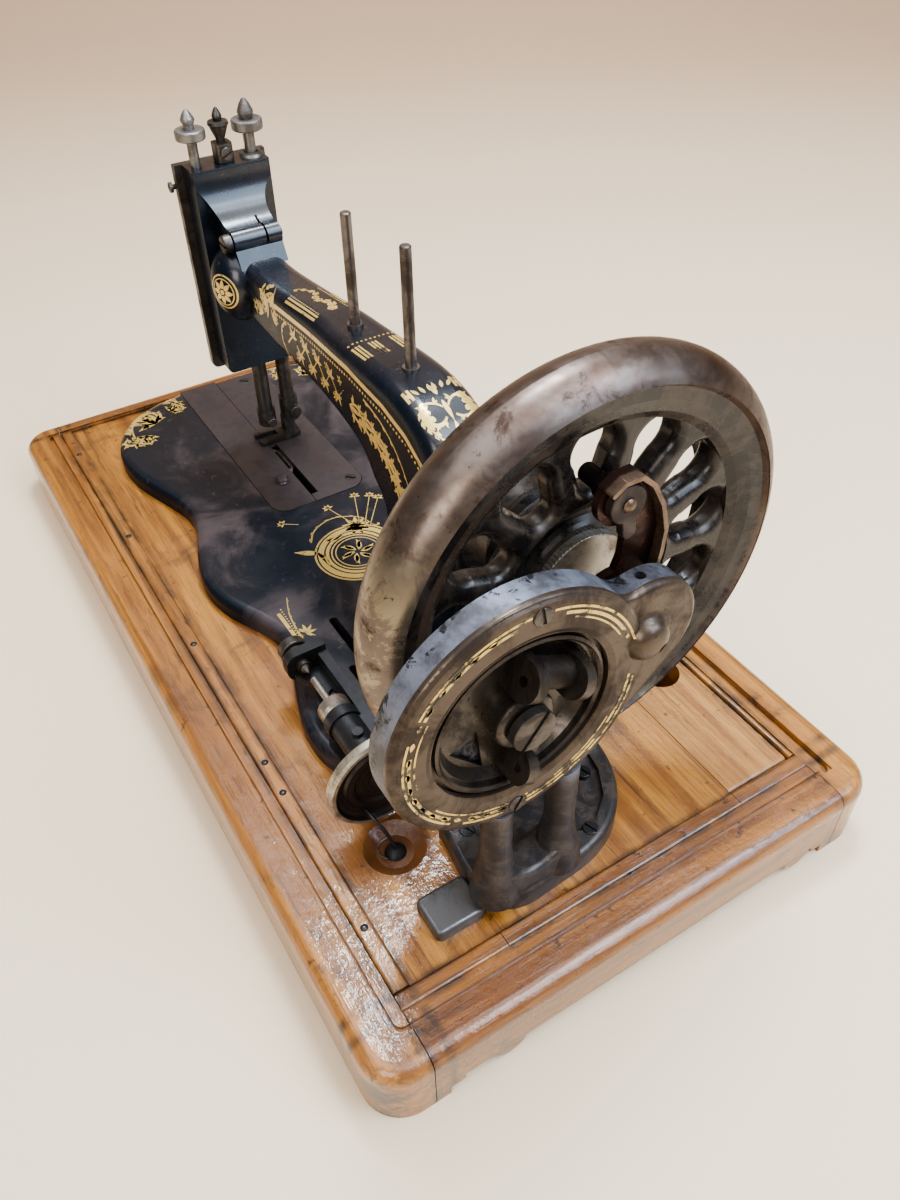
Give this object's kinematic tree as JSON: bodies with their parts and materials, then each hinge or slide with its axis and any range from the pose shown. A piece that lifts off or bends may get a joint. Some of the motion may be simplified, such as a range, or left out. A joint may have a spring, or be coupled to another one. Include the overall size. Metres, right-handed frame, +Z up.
{
  "type": "hand crank sewing machine",
  "caption": "Antique fiddle-bed hand-crank sewing machine: black curved arm with gilt scrolls, spoked balance wheel and round crank gear case on a varnished wooden plinth.",
  "frame": {"origin": "centre of the plinth's underside", "axes": "+X along the machine towards the balance wheel, -Y towards the operator, +Z up"},
  "size_m": [0.45, 0.234, 0.225],
  "materials": {
    "varnished_wood": "gloss varnish, worn",
    "board_wood": "satin varnish, stained",
    "black_enamel": "gloss black enamel",
    "bed_enamel": "gloss black enamel",
    "case_enamel": "chipped enamel",
    "plated_steel": "worn plating",
    "bright_steel": "worn",
    "dark_steel": "dark patina",
    "wheel_iron": "plated rim, dark web",
    "gear_iron": "oiled",
    "brown_steel": "brown patina",
    "bronze": "tarnished",
    "red_brown": "worn"
  },
  "bodies": {
    "base": {"front_rail": "varnished_wood", "back_rail": "varnished_wood", "left_end_rail": "varnished_wood", "right_end_rail": "varnished_wood", "front_moulding": "varnished_wood", "back_moulding": "varnished_wood", "end_mouldings": "varnished_wood", "top_board": "board_wood", "accessory_tray": "board_wood", "lid_pin": "dark_steel", "bed": "bed_enamel", "bed_screws": "dark_steel", "needle_plate": "bright_steel", "needle_plate_screws": "dark_steel", "shuttle_race": "bright_steel", "arm_casting": "black_enamel", "shaft_bushes": "bronze", "spool_pins": "plated_steel", "bracket_pin": "dark_steel", "face_plate": "brown_steel", "face_plate_screws": "dark_steel", "tension_stud": "brown_steel", "presser_washer": "plated_steel", "lifter_pin": "dark_steel", "takeup_stud": "dark_steel", "crank_axle": "dark_steel", "pinion_axle": "dark_steel", "gear_case": "case_enamel", "case_cover": "bronze", "cover_screws": "dark_steel", "bracket_screws": "dark_steel", "clamp_block": "dark_steel", "recess_screw": "dark_steel", "winder_base": "gear_iron", "winder_pin": "dark_steel"},
    "wheel": {"main_shaft": "bright_steel", "shaft_crank": "dark_steel", "balance_wheel": "wheel_iron", "wheel_nut": "dark_steel"},
    "drive_dog": {"pinion": "gear_iron", "dog_arm": "red_brown"},
    "dog_latch": {"dog_finger": "dark_steel"},
    "crank": {"crank_gear": "gear_iron"},
    "needle_slide": {"needle_bar": "plated_steel", "needle_clamp": "dark_steel"},
    "presser": {"presser_bar": "plated_steel", "presser_foot": "brown_steel"},
    "lifter": {"lifter_lever": "dark_steel"},
    "takeup": {"takeup_lever": "bright_steel"},
    "tension_wheel": {"tension_nut": "plated_steel"},
    "pressure_screw": {"presser_regulator": "plated_steel"},
    "front_slide": {"slide_plate": "bright_steel"},
    "shuttle_carrier": {"shuttle": "bright_steel", "shuttle_bobbin": "bright_steel"},
    "feed": {"feed_dog": "bright_steel"},
    "lid": {"accessory_lid": "board_wood"},
    "winder_arm": {"winder_frame": "gear_iron"},
    "winder_drive": {"winder_spindle": "bright_steel", "winder_wheel": "plated_steel"},
    "winder_centre": {"winder_tail_screw": "dark_steel"}
  },
  "joints": [
    {"name": "wheel_turn", "type": "hinge", "parent": "base", "child": "wheel", "pos_m": [0.1545, 0.005, 0.144], "axis": [1, 0, 0], "continuous": true},
    {"name": "pinion_turn", "type": "hinge", "parent": "base", "child": "drive_dog", "pos_m": [0.18, 0.005, 0.144], "axis": [1, 0, 0], "continuous": true},
    {"name": "crank_turn", "type": "hinge", "parent": "base", "child": "crank", "pos_m": [0.185, -0.04099, 0.13531], "axis": [1, 0, 0], "continuous": true},
    {"name": "dog_latch_swing", "type": "hinge", "parent": "drive_dog", "child": "dog_latch", "pos_m": [0.174, 0.00421, 0.18599], "axis": [1, 0, 0], "range_deg": [-70, 0]},
    {"name": "needle_bar_slide", "type": "slide", "parent": "base", "child": "needle_slide", "axis": [0, 0, 1], "range_m": [0, 0.024]},
    {"name": "lifter_swing", "type": "hinge", "parent": "base", "child": "lifter", "pos_m": [-0.125, 0.0302, 0.112], "axis": [0, -1, 0], "range_deg": [0, 80]},
    {"name": "presser_lift", "type": "slide", "parent": "base", "child": "presser", "axis": [0, 0, 1], "range_m": [0, 0.006]},
    {"name": "take_up_swing", "type": "hinge", "parent": "base", "child": "takeup", "pos_m": [-0.142, 0.017, 0.15], "axis": [1, 0, 0], "range_deg": [-20, 12]},
    {"name": "tension_turn", "type": "hinge", "parent": "base", "child": "tension_wheel", "pos_m": [-0.126, -0.009, 0.21], "axis": [0, 0, 1], "range_deg": [-180, 180]},
    {"name": "pressure_turn", "type": "hinge", "parent": "base", "child": "pressure_screw", "pos_m": [-0.126, 0.019, 0.21], "axis": [0, 0, 1], "range_deg": [-180, 180]},
    {"name": "front_slide_open", "type": "slide", "parent": "base", "child": "front_slide", "axis": [-1, 0, 0], "range_m": [0, 0.018]},
    {"name": "shuttle_slide", "type": "slide", "parent": "base", "child": "shuttle_carrier", "axis": [1, 0, 0], "range_m": [-0.018, 0.018]},
    {"name": "feed_slide", "type": "slide", "parent": "base", "child": "feed", "axis": [0, 1, 0], "range_m": [-0.0012, 0.0012]},
    {"name": "lid_swing", "type": "hinge", "parent": "base", "child": "lid", "pos_m": [0.19435, 0.075, 0.02725], "axis": [0, 1, 0], "range_deg": [0, 30]},
    {"name": "winder_swing", "type": "hinge", "parent": "base", "child": "winder_arm", "pos_m": [0.107, -0.0505, 0.0456], "axis": [1, 0, 0], "range_deg": [0, 6]},
    {"name": "winder_turn", "type": "hinge", "parent": "winder_arm", "child": "winder_drive", "pos_m": [0.11, -0.0625, 0.057], "axis": [1, 0, 0], "continuous": true},
    {"name": "winder_centre_slide", "type": "slide", "parent": "winder_arm", "child": "winder_centre", "axis": [-1, 0, 0], "range_m": [0, 0.003]}
  ],
  "couplings": [
    {"joint": "pinion_turn", "follows": "wheel_turn", "ratio": 1},
    {"joint": "crank_turn", "follows": "wheel_turn", "ratio": -0.3},
    {"joint": "lifter_swing", "follows": "presser_lift", "rad_per_m": 232.71}
  ]
}
